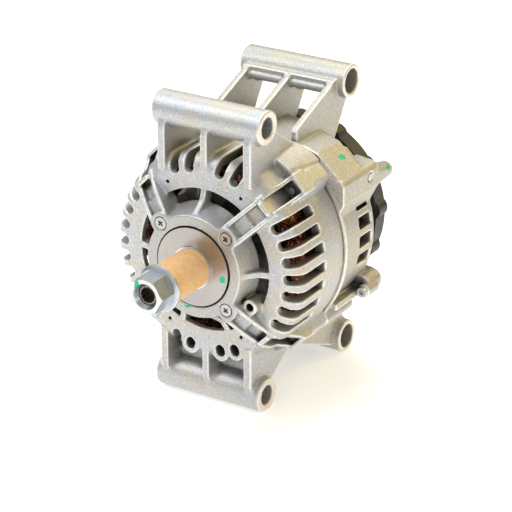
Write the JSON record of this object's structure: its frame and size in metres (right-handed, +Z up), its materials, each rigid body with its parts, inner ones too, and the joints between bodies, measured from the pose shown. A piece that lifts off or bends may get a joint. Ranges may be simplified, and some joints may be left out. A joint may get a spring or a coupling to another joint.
{
  "type": "engine alternator",
  "caption": "Heavy-duty engine alternator: slotted cast housings with twin-tube mounting brackets, turning rotor on ball bearings, nut and sleeve on the shaft, rear cover.",
  "frame": {"origin": "on the shaft axis, in the plane of the front hub face behind the pulley seat", "axes": "+Y along the shaft from the drive end to the rear cover, +Z up through the upper mounting tubes, +X to the right seen from the drive end"},
  "size_m": [0.1791, 0.2595, 0.2545],
  "materials": {
    "cast_aluminium": "cast and blasted",
    "cast_aluminium_rear": "cast and blasted",
    "plate_aluminium": "rolled plate",
    "machined_steel": "turned",
    "bearing_steel": "ground",
    "zinc_steel": "zinc plated",
    "dark_steel": "forged, phosphated",
    "laminated_steel": "stacked sheets",
    "fan_steel": "pressed sheet",
    "spring_steel": "drawn wire",
    "enamelled_copper": "enamelled wire",
    "bare_copper": "bare metal",
    "cardboard": "wound paper tube",
    "carbon": "pressed carbon",
    "black_plastic": "moulded, satin",
    "red_plastic": "moulded",
    "bobbin_plastic": "moulded nylon"
  },
  "bodies": {
    "housing": {"front_housing": "cast_aluminium", "rear_housing": "cast_aluminium_rear", "bearing_retainer": "dark_steel", "retainer_screws": "machined_steel", "through_bolts": "zinc_steel", "front_bearing_outer": "bearing_steel", "rear_bearing_outer": "bearing_steel", "stator_core": "laminated_steel", "stator_windings": "enamelled_copper", "negative_heat_sink": "plate_aluminium", "positive_heat_sink": "plate_aluminium", "negative_diodes": "zinc_steel", "positive_diodes": "zinc_steel", "terminal_board": "black_plastic", "phase_leads": "enamelled_copper", "output_stud": "bare_copper", "stud_insulator": "red_plastic", "stud_nut": "zinc_steel", "brush_holder": "black_plastic", "regulator": "plate_aluminium", "regulator_screws": "zinc_steel", "brush_spring_outer": "spring_steel", "brush_spring_inner": "spring_steel", "connector_socket": "black_plastic", "connector_pins": "bare_copper", "rear_cover": "black_plastic", "cover_screws": "zinc_steel", "rectifier_screws": "zinc_steel", "lug_pin": "machined_steel", "lug_screw": "zinc_steel"},
    "rotor": {"shaft": "machined_steel", "claw_pole_front": "dark_steel", "claw_pole_rear": "dark_steel", "field_coil": "enamelled_copper", "coil_bobbin": "bobbin_plastic", "front_fan": "fan_steel", "rear_fan": "fan_steel", "slip_rings": "bare_copper", "slip_ring_carrier": "black_plastic", "cover_disc": "machined_steel", "shoulder_ring": "zinc_steel", "transit_sleeve": "cardboard", "flange_nut": "zinc_steel", "front_bearing_inner": "bearing_steel", "rear_bearing_inner": "bearing_steel"},
    "front_cage": {"front_bearing_balls": "bearing_steel"},
    "rear_cage": {"rear_bearing_balls": "bearing_steel"},
    "outer_brush": {"brush_outer": "carbon"},
    "inner_brush": {"brush_inner": "carbon"}
  },
  "joints": [
    {"name": "rotor_spin", "type": "hinge", "parent": "housing", "child": "rotor", "pos_m": [0, 0, 0], "axis": [0, 1, 0], "continuous": true},
    {"name": "front_cage_spin", "type": "hinge", "parent": "housing", "child": "front_cage", "pos_m": [0, 0, 0], "axis": [0, 1, 0], "continuous": true},
    {"name": "rear_cage_spin", "type": "hinge", "parent": "housing", "child": "rear_cage", "pos_m": [0, 0, 0], "axis": [0, 1, 0], "continuous": true},
    {"name": "outer_brush_slide", "type": "slide", "parent": "housing", "child": "outer_brush", "axis": [0, 0, 1], "range_m": [0, 0.003], "stiffness_N_per_m": 60, "springref_m": -0.004, "deforming": ["brush_spring_outer"]},
    {"name": "inner_brush_slide", "type": "slide", "parent": "housing", "child": "inner_brush", "axis": [0, 0, 1], "range_m": [0, 0.003], "stiffness_N_per_m": 60, "springref_m": -0.004, "deforming": ["brush_spring_inner"]}
  ],
  "couplings": [
    {"joint": "front_cage_spin", "follows": "rotor_spin", "ratio": 0.3767},
    {"joint": "rear_cage_spin", "follows": "rotor_spin", "ratio": 0.383}
  ]
}
